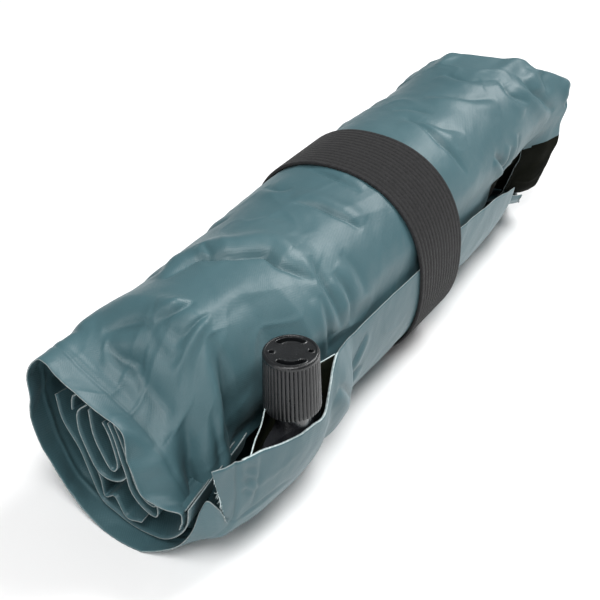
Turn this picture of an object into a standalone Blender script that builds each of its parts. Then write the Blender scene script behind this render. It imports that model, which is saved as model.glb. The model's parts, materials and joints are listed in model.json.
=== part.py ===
"""Inflatable sleeping pad: folded in half lengthwise, rolled up and held by an elastic strap.

The frame is in metres, with +X along the roll from the valve end to the folded end, +Z up, and
-Y the side where the valve and the pad's outer edge lie. The origin is on the ground, under the
middle of the object's box.
"""

import math

import bmesh
import bpy
import numpy as np
from mathutils import Matrix

MM = 0.001

# Roll
ROLL_LENGTH = 340.0
HALF_WIDTH = 44.0
HALF_HEIGHT = 46.5
OVAL_POWER = 2.3
BOTTOM_FLAT = 0.955
TURNS = 3
STATIONS_PER_TURN = 20
FREE_EDGE_DEG = -14.0

# Pad layers
SKIN = 0.6
GAP = 0.3
FOLD_GAP = 0.5
TURN_THICKNESS = 13.6
EDGE_THICKNESS = 5.0
EDGE_RAMP = 1.1
STEP_RAMP = 0.8
WELD_WIDTH = 11.0
RIM_FLARE = 0.036
RIM_FLARE_LENGTH = 14.0

# Elastic strap
STRAP_WIDTH = 38.0
STRAP_THICKNESS = 1.5
STRAP_X = 16.0
STRAP_STATIONS = 60
LAP_DEG = (128.0, 158.0)
LAP_THICKNESS = 1.3
TACK_DEGS = {"strap_tack_1": 132.0, "strap_tack_2": 151.0}
TACK_SPAN_DEG = 3.0
TACK_THICKNESS = 0.5
TACK_MARGIN = 3.0

# Valve
VALVE_X = -110.0
VALVE_Y = -47.8
CAP_BASE_Z = 57.0
CAP_RADIUS = 11.2
CAP_TOP_RADIUS = 10.6
CAP_HEIGHT = 25.0
CAP_RIBS = 30
RIB_DEPTH = 0.45
NECK_RADIUS = 6.6
THREAD_DEPTH = 0.7
THREAD_PITCH = 2.5
THREAD_START = 3.0
THREAD_END = 11.0
THREAD_RUN_IN = 1.0
THREAD_STEP = 0.5
NECK_TOP = 13.0
NECK_CHAMFER = 0.6
NECK_ROOT = 3.0
BORE_RADIUS = 4.0
SEAT_RADIUS = 6.0
FIN_HALF_LENGTH = 21.0
FIN_HALF_THICKNESS = 3.5
FIN_TOP = -7.0
FIN_BOTTOM = -23.0
FIN_SHOULDER = 2.0
FIN_SCALES = (0.86, 1.0, 0.9)
FIN_ARC_STEPS = 12
NECK_BULGE = 0.2
NECK_BULGE_SPREAD = 0.3
BORE_OVERRUN = 4.0
VALVE_SEGMENTS = 36

# Plug in the neck
PLUG_SEGMENTS = 28
PLUG_FOOT = 3.0
PLUG_FINS = 3
FIN_WALL = 1.0
FIN_HEIGHT = 4.0
FIN_LIFT = 0.5
POST_RADIUS = 1.5
HEAD_BOTTOM = 13.8
HEAD_TOP = 17.9
HEAD_RADIUS = 5.3
GROOVE_BOTTOM = 14.9
GROOVE_TOP = 16.9
GROOVE_RADIUS = 3.95
O_RING_RADIUS = 0.7
O_RING_SIDES = 10

# Ring under the cap
RING_INNER_RADIUS = 7.9
RING_BOTTOM = 0.3
RING_TOP_GAP = 0.4

# Outside edges of the cap
CAP_FOOT_INSET = 0.5
CAP_WALL_INSET = 0.1
CAP_WALL_BOTTOM = 1.0
CAP_EDGE_DROP = 2.4
CAP_ROUND_DROP = 1.2
CAP_ROUND_INSET = 0.15
CAP_TOP_INSET = 1.3
RIB_TOLERANCE = 0.05

# Inside of the cap
CAP_CLEARANCE = 0.4
CAP_THREAD_STEP = 0.6
CAP_THREAD_ROWS = 15
CAP_THREAD_MARGIN = 0.4
CAP_THREAD_END = 11.5
SEAT_LEAD = 0.4
SEAT_SHOULDER = 1.0
MOUTH_RADIUS = 9.2
MOUTH_DEPTH = 1.6
SEAT_BOTTOM = 13.4
SEAT_TOP = 17.2
CHAMBER_RADIUS = 8.7
CHAMBER_TOP = 22.4
RIB_BOTTOM = 1.6
SLOT_ANGLE = math.radians(215.0)
SLOT_SPAN = math.radians(75.0)
SLOT_RADII = (6.5, 8.1)
SLOT_STATIONS = 9
VENT_RADIUS = 0.9
VENT_SEGMENTS = 12
CUT_OVERRUN = 1.0

# Corner layers round the valve: the front one's top edge dips at the valve
FRONT_EDGE_X = (-148.0, -124.0, -110.0, -97.0, -86.0, -78.0, -64.0)
FRONT_EDGE_Z = (58.0, 46.0, 41.5, 39.0, 41.0, 50.0, 58.0)
FRONT_FOOT_Z = 14.0
FRONT_STATIONS = 15
FRONT_OUTSET = 3.6
POCKET_X = (-148.0, -131.0, -89.0, -64.0)
POCKET_Y = -56.0
POCKET_FOOT_Z = 12.0
POCKET_RISE = 18.0
REAR_EDGE_X = (-140.0, -124.0, -72.0)
REAR_EDGE_Z = (46.0, 55.0, 55.0)
REAR_FOOT_Z = 22.0
REAR_STATIONS = 9
REAR_OUTSET = 2.4
SHEET_ROWS = 12

# Hollow that the soft roll gets behind the valve
DENT = 0.2
DENT_X = (-132.0, -120.0, -100.0, -88.0)
DENT_Z = (20.0, 45.0)

STRAP_OUTSET = GAP + STRAP_THICKNESS
ROLL_Z = BOTTOM_FLAT * (HALF_HEIGHT + STRAP_OUTSET)
RIM_HALF_WIDTH = HALF_WIDTH * (1.0 + RIM_FLARE)
ROLL_Y = (CAP_RADIUS - VALVE_Y - RIM_HALF_WIDTH) / 2.0
END_X = ROLL_LENGTH / 2.0
TURN = 2.0 * math.pi
FREE_EDGE = math.radians(FREE_EDGE_DEG)
STATION_STEP = TURN / STATIONS_PER_TURN
INNER_STATION = int((TURNS * TURN - STEP_RAMP) / STATION_STEP)
ROLL_X_STATIONS = (-END_X, -END_X + RIM_FLARE_LENGTH) + DENT_X


# Materials

def material(name, color, roughness, metallic=0.0):
    made = bpy.data.materials.new(name)
    made.use_nodes = True
    shader = made.node_tree.nodes["Principled BSDF"]
    shader.inputs["Base Color"].default_value = (*color, 1.0)
    shader.inputs["Roughness"].default_value = roughness
    shader.inputs["Metallic"].default_value = metallic
    return made


def coated_fabric():
    return material("coated_fabric", (0.09, 0.19, 0.21), 0.38)


def inner_coating():
    return material("inner_coating", (0.13, 0.16, 0.13), 0.55)


def pad_foam():
    return material("pad_foam", (0.72, 0.68, 0.52), 0.95)


def elastic_web():
    return material("elastic_web", (0.022, 0.024, 0.027), 0.85)


def strap_thread():
    return material("strap_thread", (0.03, 0.03, 0.032), 0.7)


def cap_plastic():
    return material("cap_plastic", (0.016, 0.017, 0.018), 0.42)


def stem_plastic():
    return material("stem_plastic", (0.05, 0.055, 0.058), 0.25)


def seal_rubber():
    return material("seal_rubber", (0.02, 0.02, 0.02), 0.6)


# Mesh helpers

def add_object(name, mesh_data, made_material, location=(0.0, 0.0, 0.0)):
    """Turn a bmesh in millimetres into a named object in metres with its normals facing out."""
    bmesh.ops.scale(mesh_data, vec=(MM, MM, MM), verts=mesh_data.verts)
    bmesh.ops.recalc_face_normals(mesh_data, faces=mesh_data.faces)
    mesh = bpy.data.meshes.new(name)
    mesh_data.to_mesh(mesh)
    mesh_data.free()
    made = bpy.data.objects.new(name, mesh)
    made.location = [MM * value for value in location]
    mesh.materials.append(made_material)
    mesh.shade_smooth()
    mesh.set_sharp_from_angle(angle=math.radians(30.0))
    bpy.context.scene.collection.objects.link(made)
    return made


def loft(sections, closed=False, folded=False):
    """Skin a row of equal point rings. An open row gets an end face on each end.

    A folded ring runs out along one face of a layer and back along the other, so its end is
    filled with a strip of faces that bends with it. Its faces are all cut along the same
    diagonal, so that stacked layers keep their gaps.
    """
    built = bmesh.new()
    rings = [[built.verts.new(point) for point in ring] for ring in sections]
    count = len(rings[0])
    pairs = list(zip(rings, rings[1:]))
    if closed:
        pairs.append((rings[-1], rings[0]))
    for ring, after in pairs:
        for i in range(count):
            j = (i + 1) % count
            if not folded:
                built.faces.new((ring[i], ring[j], after[j], after[i]))
            elif (ring[i].co.x, ring[i].co.z) < (ring[j].co.x, ring[j].co.z):
                built.faces.new((ring[i], ring[j], after[j]))
                built.faces.new((ring[i], after[j], after[i]))
            else:
                built.faces.new((ring[i], ring[j], after[i]))
                built.faces.new((ring[j], after[j], after[i]))
    if closed:
        return built
    for ring in (rings[0], rings[-1]):
        if folded:
            for i in range(count // 2 - 1):
                built.faces.new((ring[i], ring[i + 1], ring[count - 2 - i], ring[count - 1 - i]))
        else:
            built.faces.new(ring)
    return built


def turned(profile, segments, radius_at=None):
    """Turn a closed (radius, height) profile about Z. radius_at may change a radius by angle."""
    sections = []
    for i in range(segments):
        angle = TURN * i / segments
        ring = []
        for radius, height in profile:
            spread = radius_at(radius, height, angle) if radius_at else radius
            ring.append((spread * math.cos(angle), spread * math.sin(angle), height))
        sections.append(ring)
    return loft(sections, closed=True)


def stacked(profile, segments, radius_at=None):
    """Stack circles up and down an open (radius, height) profile and close both ends flat."""
    sections = []
    for radius, height in profile:
        ring = []
        for i in range(segments):
            angle = TURN * i / segments
            spread = radius_at(radius, height, angle) if radius_at else radius
            ring.append((spread * math.cos(angle), spread * math.sin(angle), height))
        sections.append(ring)
    return loft(sections)


def smooth(value):
    value = min(max(value, 0.0), 1.0)
    return value * value * (3.0 - 2.0 * value)


def boolean(target, cutter, operation):
    """Apply an exact Boolean with a helper object, then remove the helper."""
    step = target.modifiers.new("boolean", "BOOLEAN")
    step.operation = operation
    step.solver = "EXACT"
    step.object = cutter
    bpy.context.view_layer.update()
    evaluated = target.evaluated_get(bpy.context.evaluated_depsgraph_get())
    result = bpy.data.meshes.new_from_object(evaluated)
    target.modifiers.clear()
    target.data = result
    bpy.data.objects.remove(cutter)


# Shape of the roll

def oval_point(angle, inset):
    """Point of the roll's oval at an angle from its -Y side, turning downwards."""
    across = math.cos(angle)
    down = math.sin(angle)
    power = 2.0 / OVAL_POWER
    y = -(HALF_WIDTH - inset) * math.copysign(abs(across) ** power, across)
    drop = math.copysign(abs(down) ** power, down)
    z = -(HALF_HEIGHT - inset) * min(drop, BOTTOM_FLAT)
    return y, z


def settled(x, y, z):
    """Flare the valve-end rim and hollow the side behind the valve; z is above the ground."""
    flare = 1.0 + RIM_FLARE * smooth((-END_X + RIM_FLARE_LENGTH - x) / RIM_FLARE_LENGTH)
    y *= flare
    z *= flare
    height = z + ROLL_Z
    if y < 0.0:
        along = np.interp(x, DENT_X, (0.0, 1.0, 1.0, 0.0))
        y *= 1.0 - DENT * along * smooth((height - DENT_Z[0]) / (DENT_Z[1] - DENT_Z[0]))
    return x, y + ROLL_Y, height


def stack_thickness(turned_angle):
    """Thickness of the doubled pad, which thins towards its welded outer edge."""
    grown = smooth((turned_angle - WELD_WIDTH / HALF_WIDTH) / EDGE_RAMP)
    return EDGE_THICKNESS + (TURN_THICKNESS - EDGE_THICKNESS) * grown


def stack_inset(turned_angle):
    """Depth of the doubled pad's outer face below the roll's oval."""
    if turned_angle < TURN:
        rise = smooth((turned_angle - TURN + STEP_RAMP) / STEP_RAMP)
        return (EDGE_THICKNESS + GAP) * rise
    before = turned_angle - TURN
    return stack_inset(before) + stack_thickness(before) + GAP


def folded_layer(turned_angle, start, thickness, near_x):
    """Ring of one layer: along the outer ply, round the lengthwise fold, back along the inner."""
    total = stack_thickness(turned_angle)
    depth = stack_inset(turned_angle)
    angle = FREE_EDGE + turned_angle
    stations = [near_x] + [x for x in ROLL_X_STATIONS if x > near_x]
    outer_x = END_X - start
    inner_x = outer_x - thickness
    outward = [(x, start) for x in stations] + [(outer_x, start)]
    returning = [(outer_x, total - start)] + [(x, total - start) for x in reversed(stations)]
    inside_out = [(x, total - start - thickness) for x in stations] + [(inner_x, total - start - thickness)]
    inside_back = [(inner_x, start + thickness)] + [(x, start + thickness) for x in reversed(stations)]
    ring = []
    for x, layer_depth in outward + returning + inside_out + inside_back:
        y, z = oval_point(angle, depth + layer_depth)
        ring.append(settled(x, y, z))
    return ring


def turned_angles(skipped):
    """Angles of the roll's sections, leaving out some at the pad's outer and inner edges."""
    return [STATION_STEP * i for i in range(skipped, INNER_STATION + 1 - skipped)]


def build_lower_skin():
    rings = [folded_layer(angle, 0.0, SKIN, -END_X) for angle in turned_angles(0)]
    return add_object("lower_skin", loft(rings, folded=True), coated_fabric())


def build_foam_core():
    start = SKIN + GAP
    rings = []
    for angle in turned_angles(1):
        thickness = (stack_thickness(angle) - FOLD_GAP) / 2.0 - 2.0 * (SKIN + GAP)
        rings.append(folded_layer(angle, start, thickness, -END_X + WELD_WIDTH))
    return add_object("foam_core", loft(rings, folded=True), pad_foam())


def build_upper_skin():
    rings = []
    for angle in turned_angles(0):
        start = (stack_thickness(angle) - FOLD_GAP) / 2.0 - SKIN
        rings.append(folded_layer(angle, start, SKIN, -END_X))
    return add_object("upper_skin", loft(rings, folded=True), coated_fabric())


# Welded corner layers that hold the valve

def roll_side(x, height, outset):
    """Y of the roll's -Y side at a height, moved out by outset."""
    share = min(abs(height - ROLL_Z) / HALF_HEIGHT, 1.0)
    y = -HALF_WIDTH * (1.0 - share ** OVAL_POWER) ** (1.0 / OVAL_POWER)
    side = settled(x, y, height - ROLL_Z)[1]
    return side - outset


def corner_sheet(name, xs, bottom_at, top_at, outset_at, made_material):
    """Curved sheet beside the roll, between a bottom and a top edge given along X."""
    rows = SHEET_ROWS
    rings = []
    for x in xs:
        heights = [bottom_at(x) + (top_at(x) - bottom_at(x)) * j / (rows - 1) for j in range(rows)]
        face = [(x, roll_side(x, z, outset_at(x, z)), z) for z in heights]
        back = [(px, py + SKIN, pz) for px, py, pz in reversed(face)]
        rings.append(face + back)
    return add_object(name, loft(rings, folded=True), made_material)


def front_foot(x):
    return FRONT_FOOT_Z


def front_edge(x):
    return float(np.interp(x, FRONT_EDGE_X, FRONT_EDGE_Z))


def front_outset(x, z):
    """Distance from the roll, which swells into a pocket round the valve."""
    along = np.interp(x, POCKET_X, (0.0, 1.0, 1.0, 0.0))
    room = roll_side(x, z, 0.0) - ROLL_Y - POCKET_Y
    swell = smooth((z - POCKET_FOOT_Z) / POCKET_RISE)
    return FRONT_OUTSET + along * (room - FRONT_OUTSET) * swell


def rear_foot(x):
    return REAR_FOOT_Z


def rear_edge(x):
    return float(np.interp(x, REAR_EDGE_X, REAR_EDGE_Z))


def rear_outset(x, z):
    return REAR_OUTSET


def build_corner_front_layer():
    xs = np.linspace(FRONT_EDGE_X[0], FRONT_EDGE_X[-1], FRONT_STATIONS)
    fabric = coated_fabric()
    return corner_sheet("corner_front_layer", xs, front_foot, front_edge, front_outset, fabric)


def build_corner_rear_layer():
    xs = sorted(set(np.linspace(REAR_EDGE_X[0], REAR_EDGE_X[-1], REAR_STATIONS)) | set(DENT_X))
    coating = inner_coating()
    return corner_sheet("corner_rear_layer", xs, rear_foot, rear_edge, rear_outset, coating)


# Valve

def valve_place():
    return (VALVE_X, VALVE_Y + ROLL_Y, CAP_BASE_Z)


def thread_swell(height, angle, depth):
    """Rise of a right-hand thread above its root at a height and angle."""
    run_in = smooth((height - THREAD_START) / THREAD_RUN_IN)
    run_out = smooth((THREAD_END - height) / THREAD_RUN_IN)
    phase = (height / THREAD_PITCH - angle / TURN) % 1.0
    return depth * run_in * run_out * (1.0 - abs(2.0 * phase - 1.0))


def build_valve_stem():
    """Boat-shaped weld fin with a bored neck, threaded outside."""
    thread_rows = int((THREAD_END - THREAD_START) / THREAD_STEP) + 1
    outside = [(NECK_RADIUS, FIN_TOP - NECK_ROOT)]
    outside += [(NECK_RADIUS, THREAD_START + THREAD_STEP * i) for i in range(thread_rows)]
    outside += [(NECK_RADIUS, NECK_TOP - NECK_CHAMFER), (NECK_RADIUS - NECK_CHAMFER, NECK_TOP)]
    inside = [(BORE_RADIUS, NECK_TOP), (BORE_RADIUS, FIN_TOP - NECK_ROOT)]

    def radius_at(radius, height, angle):
        if radius < NECK_RADIUS:
            return radius
        return radius + thread_swell(height, angle, THREAD_DEPTH)

    neck = add_object("valve_stem", turned(outside + inside, VALVE_SEGMENTS, radius_at),
                      stem_plastic(), valve_place())
    boolean(neck, fin_body(), "UNION")
    boolean(neck, bore_cutter(), "DIFFERENCE")
    return neck


def fin_body():
    """Fin outline of two arcs meeting in a point at each end, thinner towards the bottom."""
    neck_room = NECK_RADIUS + NECK_BULGE - FIN_HALF_THICKNESS
    sections = []
    for z, scale in zip((FIN_BOTTOM, FIN_TOP - FIN_SHOULDER, FIN_TOP), FIN_SCALES):
        ring = []
        for side in (1.0, -1.0):
            for i in range(FIN_ARC_STEPS):
                turn = math.pi * i / FIN_ARC_STEPS
                along = side * math.cos(turn)
                half = side * FIN_HALF_THICKNESS * math.sin(turn)
                bulge = side * neck_room * math.exp(-(along / NECK_BULGE_SPREAD) ** 2)
                spread = bulge if i > 0 else 0.0
                ring.append((FIN_HALF_LENGTH * scale * along, scale * (half + spread), z))
        sections.append(ring)
    return add_object("fin_helper", loft(sections), stem_plastic(), valve_place())


def bore_cutter():
    built = bmesh.new()
    bmesh.ops.create_cone(built, cap_ends=True, segments=VALVE_SEGMENTS, radius1=BORE_RADIUS,
                          radius2=BORE_RADIUS, depth=NECK_TOP - FIN_BOTTOM + BORE_OVERRUN)
    bmesh.ops.translate(built, verts=built.verts, vec=(0.0, 0.0, (NECK_TOP + FIN_BOTTOM) / 2.0))
    return add_object("bore_helper", built, stem_plastic(), valve_place())


def build_valve_plug():
    """Fixed plug above the neck: a grooved head on a post with three fins pressed in the bore."""
    profile = [(POST_RADIUS, PLUG_FOOT), (POST_RADIUS, HEAD_BOTTOM), (HEAD_RADIUS, HEAD_BOTTOM),
               (HEAD_RADIUS, GROOVE_BOTTOM), (GROOVE_RADIUS, GROOVE_BOTTOM),
               (GROOVE_RADIUS, GROOVE_TOP), (HEAD_RADIUS, GROOVE_TOP), (HEAD_RADIUS, HEAD_TOP)]
    plug = add_object("valve_plug", stacked(profile, PLUG_SEGMENTS), stem_plastic(), valve_place())
    for i in range(PLUG_FINS):
        boolean(plug, plug_fin(TURN * i / PLUG_FINS), "UNION")
    return plug


def plug_fin(angle):
    built = bmesh.new()
    bmesh.ops.create_cube(built, size=1.0)
    length = BORE_RADIUS - GAP
    bmesh.ops.scale(built, verts=built.verts, vec=(length, FIN_WALL, FIN_HEIGHT))
    bmesh.ops.translate(built, verts=built.verts,
                        vec=(length / 2.0, 0.0, PLUG_FOOT + FIN_HEIGHT / 2.0 + FIN_LIFT))
    turn = Matrix.Rotation(angle, 3, "Z")
    bmesh.ops.rotate(built, verts=built.verts, matrix=turn)
    return add_object("plug_fin_helper", built, stem_plastic(), valve_place())


def build_plug_o_ring():
    middle = (GROOVE_BOTTOM + GROOVE_TOP) / 2.0
    center_radius = SEAT_RADIUS - GAP - O_RING_RADIUS
    profile = []
    for i in range(O_RING_SIDES):
        angle = TURN * i / O_RING_SIDES
        profile.append((center_radius + O_RING_RADIUS * math.cos(angle),
                        middle + O_RING_RADIUS * math.sin(angle)))
    return add_object("plug_o_ring", turned(profile, PLUG_SEGMENTS), seal_rubber(), valve_place())


def build_cap_ring():
    outer = MOUTH_RADIUS - GAP
    top = MOUTH_DEPTH - RING_TOP_GAP
    profile = [(RING_INNER_RADIUS, RING_BOTTOM), (outer, RING_BOTTOM), (outer, top),
               (RING_INNER_RADIUS, top)]
    return add_object("cap_ring", turned(profile, VALVE_SEGMENTS), seal_rubber(), valve_place())


def build_valve_cap():
    """Knurled screw cap, threaded inside, with a seat that closes on the plug's ring."""
    root = NECK_RADIUS + CAP_CLEARANCE
    thread_bottom = MOUTH_DEPTH + CAP_THREAD_MARGIN
    inside = [(CHAMBER_RADIUS, CHAMBER_TOP), (CHAMBER_RADIUS, SEAT_TOP + SEAT_SHOULDER),
              (SEAT_RADIUS, SEAT_TOP), (SEAT_RADIUS, SEAT_BOTTOM + SEAT_LEAD), (root, SEAT_BOTTOM)]
    inside += [(root, thread_bottom + CAP_THREAD_STEP * i) for i in reversed(range(CAP_THREAD_ROWS))]
    inside += [(MOUTH_RADIUS, MOUTH_DEPTH), (MOUTH_RADIUS, 0.0)]
    outside = [(CAP_RADIUS - CAP_FOOT_INSET, 0.0), (CAP_RADIUS - CAP_WALL_INSET, CAP_WALL_BOTTOM),
               (CAP_RADIUS, RIB_BOTTOM), (CAP_TOP_RADIUS, CAP_HEIGHT - CAP_EDGE_DROP),
               (CAP_TOP_RADIUS - CAP_ROUND_INSET, CAP_HEIGHT - CAP_ROUND_DROP),
               (CAP_TOP_RADIUS - CAP_TOP_INSET, CAP_HEIGHT)]

    def radius_at(radius, height, angle):
        if radius > CAP_TOP_RADIUS - RIB_TOLERANCE and height >= RIB_BOTTOM:
            rib = round(angle / TURN * 2 * CAP_RIBS) % 2
            return radius - RIB_DEPTH * rib
        if radius == root and height < CAP_THREAD_END:
            phase = (height / THREAD_PITCH - angle / TURN) % 1.0
            return radius + THREAD_DEPTH * (1.0 - abs(2.0 * phase - 1.0))
        return radius

    cap = add_object("valve_cap", stacked(inside + outside, 2 * CAP_RIBS, radius_at),
                     cap_plastic(), valve_place())
    for side in (0.0, math.pi):
        boolean(cap, slot_cutter(SLOT_ANGLE + side), "DIFFERENCE")
        boolean(cap, hole_cutter(SLOT_ANGLE + math.pi / 2.0 + side), "DIFFERENCE")
    return cap


def slot_cutter(middle):
    low = CHAMBER_TOP - CUT_OVERRUN
    high = CAP_HEIGHT + CUT_OVERRUN
    corners = ((SLOT_RADII[0], low), (SLOT_RADII[1], low), (SLOT_RADII[1], high), (SLOT_RADII[0], high))
    sections = []
    for i in range(SLOT_STATIONS):
        angle = middle + SLOT_SPAN * (i / (SLOT_STATIONS - 1) - 0.5)
        ring = [(radius * math.cos(angle), radius * math.sin(angle), z) for radius, z in corners]
        sections.append(ring)
    return add_object("slot_helper", loft(sections), cap_plastic(), valve_place())


def hole_cutter(angle):
    radius = sum(SLOT_RADII) / 2.0
    built = bmesh.new()
    bmesh.ops.create_cone(built, cap_ends=True, segments=VENT_SEGMENTS, radius1=VENT_RADIUS,
                          radius2=VENT_RADIUS, depth=CAP_HEIGHT - CHAMBER_TOP + 2.0 * CUT_OVERRUN)
    bmesh.ops.translate(built, verts=built.verts,
                        vec=(radius * math.cos(angle), radius * math.sin(angle),
                             (CAP_HEIGHT + CHAMBER_TOP) / 2.0))
    return add_object("vent_helper", built, cap_plastic(), valve_place())


# Elastic strap

def strap_ring(angle, inner, outer, half_width):
    """Four corners of a band round the roll, between two outsets from the oval."""
    ring = []
    for x, outset in ((STRAP_X - half_width, inner), (STRAP_X + half_width, inner),
                      (STRAP_X + half_width, outer), (STRAP_X - half_width, outer)):
        y, z = oval_point(angle, -outset)
        ring.append(settled(x, y, z))
    return ring


def build_elastic_strap():
    """One loop of elastic whose end laps over its start."""
    rings = []
    for i in range(STRAP_STATIONS):
        degrees = FREE_EDGE_DEG + 360.0 * i / STRAP_STATIONS
        lapped = LAP_DEG[0] <= degrees <= LAP_DEG[1]
        outer = STRAP_OUTSET + (LAP_THICKNESS if lapped else 0.0)
        rings.append(strap_ring(math.radians(degrees), GAP, outer, STRAP_WIDTH / 2.0))
    return add_object("elastic_strap", loft(rings, closed=True), elastic_web())


def build_strap_tack(name, middle):
    rings = []
    inner = STRAP_OUTSET + LAP_THICKNESS + GAP
    for share in (-0.5, 0.0, 0.5):
        angle = math.radians(middle + share * TACK_SPAN_DEG)
        rings.append(strap_ring(angle, inner, inner + TACK_THICKNESS, STRAP_WIDTH / 2.0 - TACK_MARGIN))
    return add_object(name, loft(rings), strap_thread())


def remove_all_objects():
    for found in list(bpy.data.objects):
        bpy.data.objects.remove(found)


def main():
    remove_all_objects()
    build_lower_skin()
    build_foam_core()
    build_upper_skin()
    build_corner_front_layer()
    build_corner_rear_layer()
    build_valve_stem()
    build_valve_plug()
    build_plug_o_ring()
    build_cap_ring()
    build_valve_cap()
    build_elastic_strap()
    for name, middle in TACK_DEGS.items():
        build_strap_tack(name, middle)


main()
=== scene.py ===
"""Visual model of a rolled sleeping pad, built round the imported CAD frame.

Points are worked out in millimetres, in the frame's axes: +X along the roll from the valve end
to the folded end, -Y the valve side, +Z up. A place on the roll is given by x and by psi, the
angle in degrees from the roll's -Y side, turning down: 90 is the bottom, 270 the top.
"""

import json
import math

import bpy
import numpy as np
from mathutils import Matrix, Vector

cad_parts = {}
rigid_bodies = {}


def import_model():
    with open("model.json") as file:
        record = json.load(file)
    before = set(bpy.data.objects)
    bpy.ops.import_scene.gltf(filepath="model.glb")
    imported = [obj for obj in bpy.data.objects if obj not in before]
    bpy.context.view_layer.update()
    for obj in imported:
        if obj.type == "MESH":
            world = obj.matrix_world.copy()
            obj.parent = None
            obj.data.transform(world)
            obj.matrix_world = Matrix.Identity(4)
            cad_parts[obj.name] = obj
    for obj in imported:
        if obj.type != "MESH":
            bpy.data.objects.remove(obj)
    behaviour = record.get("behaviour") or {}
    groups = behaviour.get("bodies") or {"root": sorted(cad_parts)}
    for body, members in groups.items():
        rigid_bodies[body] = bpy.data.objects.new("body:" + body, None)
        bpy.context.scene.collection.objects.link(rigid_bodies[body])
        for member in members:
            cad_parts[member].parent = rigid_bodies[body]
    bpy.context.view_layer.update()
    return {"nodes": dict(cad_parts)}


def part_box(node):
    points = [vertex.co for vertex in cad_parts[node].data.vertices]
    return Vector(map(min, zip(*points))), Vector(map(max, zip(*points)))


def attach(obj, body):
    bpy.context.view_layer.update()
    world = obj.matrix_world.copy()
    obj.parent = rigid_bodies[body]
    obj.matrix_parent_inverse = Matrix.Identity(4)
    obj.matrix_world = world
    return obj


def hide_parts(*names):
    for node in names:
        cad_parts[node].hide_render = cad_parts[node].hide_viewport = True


MM = 0.001

for thing in list(bpy.data.objects):
    bpy.data.objects.remove(thing)
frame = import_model()


def node_box(node):
    low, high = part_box(node)
    return np.array(low) / MM, np.array(high) / MM


strap_low, strap_high = node_box("elastic_strap")
cap_low, cap_high = node_box("valve_cap")

# Roll
HALF_WIDTH, HALF_HEIGHT, OVAL_POWER = 43.9, 46.4, 2.3
STRAP_OUTSET = 1.8
ROLL_Y = (strap_low[1] + strap_high[1]) / 2.0
ROLL_Z = strap_high[2] - HALF_HEIGHT - STRAP_OUTSET
GROUND = 0.5
GROUND_GIVE = 0.1
CLOTH_T = 0.5

# Strap
STRAP_X0, STRAP_X1 = strap_low[0], strap_high[0]
STRAP_T = 1.5

# Valve
VALVE_X, VALVE_Y = (cap_low[0] + cap_high[0]) / 2.0, (cap_low[1] + cap_high[1]) / 2.0
CAP_Z0, CAP_Z1 = cap_low[2], cap_high[2]
CAP_R = (cap_high[0] - cap_low[0]) / 2.0


# Small numeric helpers

def smooth(value):
    value = np.clip(value, 0.0, 1.0)
    return value * value * (3.0 - 2.0 * value)


def hump(value, width):
    return np.exp(-(value / width) ** 2)


def wrap180(psi):
    return (np.asarray(psi) + 180.0) % 360.0 - 180.0


def bell(count):
    """Weights of a soft average."""
    weights = np.hanning(count)
    return weights / weights.sum()


TABLE_STEPS = 721


def table(value, pairs, soften=0.0):
    """Value through (key, level) pairs, straight between them or softened over a given reach."""
    keys, levels = np.array(pairs, float).T
    if soften:
        fine = np.linspace(keys[0], keys[-1], TABLE_STEPS)
        reach = max(3, int(soften / (fine[1] - fine[0])) | 1)
        kernel = bell(reach + 2)
        padded = np.pad(np.interp(fine, keys, levels), len(kernel), mode="edge")
        keys, levels = fine, np.convolve(padded, kernel, mode="same")[len(kernel):-len(kernel)]
    return np.interp(value, keys, levels)


def running(steps):
    """Running total of steps, from zero."""
    return np.concatenate([[0.0], np.cumsum(steps)])


def hermite_span(t, start, end, start_slope, end_slope):
    return ((2 * t ** 3 - 3 * t ** 2 + 1) * start + (t ** 3 - 2 * t ** 2 + t) * start_slope
            + (3 * t ** 2 - 2 * t ** 3) * end + (t ** 3 - t ** 2) * end_slope)


SPAN_STEPS = 20


def curve_points(points, count):
    """Points evenly spaced along a smooth curve through the given ones."""
    control = np.asarray(points, float)
    control = np.concatenate([[2 * control[0] - control[1]], control, [2 * control[-1] - control[-2]]])
    fine = []
    for i in range(len(control) - 3):
        p0, p1, p2, p3 = control[i:i + 4]
        t = np.linspace(0.0, 1.0, SPAN_STEPS, endpoint=False)[:, None]
        fine.append(hermite_span(t, p1, p2, (p2 - p0) / 2.0, (p3 - p1) / 2.0))
    fine = np.concatenate(fine + [control[-2][None]])
    length = running(np.linalg.norm(np.diff(fine, axis=0), axis=1))
    at = np.linspace(0.0, length[-1], count)
    return np.stack([np.interp(at, length, fine[:, k]) for k in range(fine.shape[1])], 1)


NOISE_SEED, NOISE_LAYERS, NOISE_SIZE = 7, 8, 64
NOISE = np.random.default_rng(NOISE_SEED).uniform(-1.0, 1.0, (NOISE_LAYERS, NOISE_SIZE, NOISE_SIZE))


def noise(x, y, layer):
    """Smooth repeatable noise from -1 to 1."""
    ix, iy = np.floor(x).astype(int), np.floor(y).astype(int)
    fx, fy = smooth(x - ix), smooth(y - iy)
    ix, jx = ix % NOISE_SIZE, (ix + 1) % NOISE_SIZE
    iy, jy = iy % NOISE_SIZE, (iy + 1) % NOISE_SIZE
    grid = NOISE[layer]
    low = grid[ix, iy] * (1 - fx) + grid[jx, iy] * fx
    high = grid[ix, jy] * (1 - fx) + grid[jx, jy] * fx
    return low * (1 - fy) + high * fy


# Mesh helpers

def new_object(name, points, faces):
    mesh = bpy.data.meshes.new(name)
    mesh.from_pydata((np.asarray(points) * MM).tolist(), [], faces)
    mesh.update()
    mesh.shade_smooth()
    made = bpy.data.objects.new(name, mesh)
    bpy.context.scene.collection.objects.link(made)
    return made


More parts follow.
